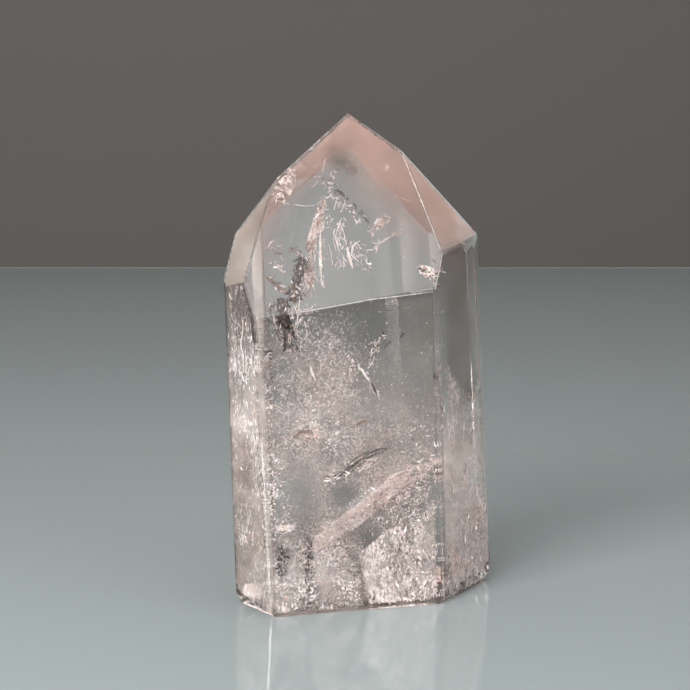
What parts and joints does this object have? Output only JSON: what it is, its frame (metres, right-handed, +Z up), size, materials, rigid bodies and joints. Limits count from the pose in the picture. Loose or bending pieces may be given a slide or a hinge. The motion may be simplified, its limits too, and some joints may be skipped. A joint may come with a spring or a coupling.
{
  "type": "polished quartz tower",
  "caption": "Clear polished quartz crystal with flat sides, an off-centre faceted point and a flat foot; stands upright as an ornament.",
  "frame": {"origin": "middle of the foot's outline box, on the surface that it stands on", "axes": "+Z up to the point, the large front facet faces -Y, +X to its right"},
  "size_m": [0.0388, 0.0322, 0.0698],
  "materials": {
    "clear_quartz": "polished clear quartz, colourless to dusty pink, with healed fractures, milky veils and fine flecks inside"
  },
  "bodies": {
    "root": {"crystal": "clear_quartz"}
  },
  "joints": []
}
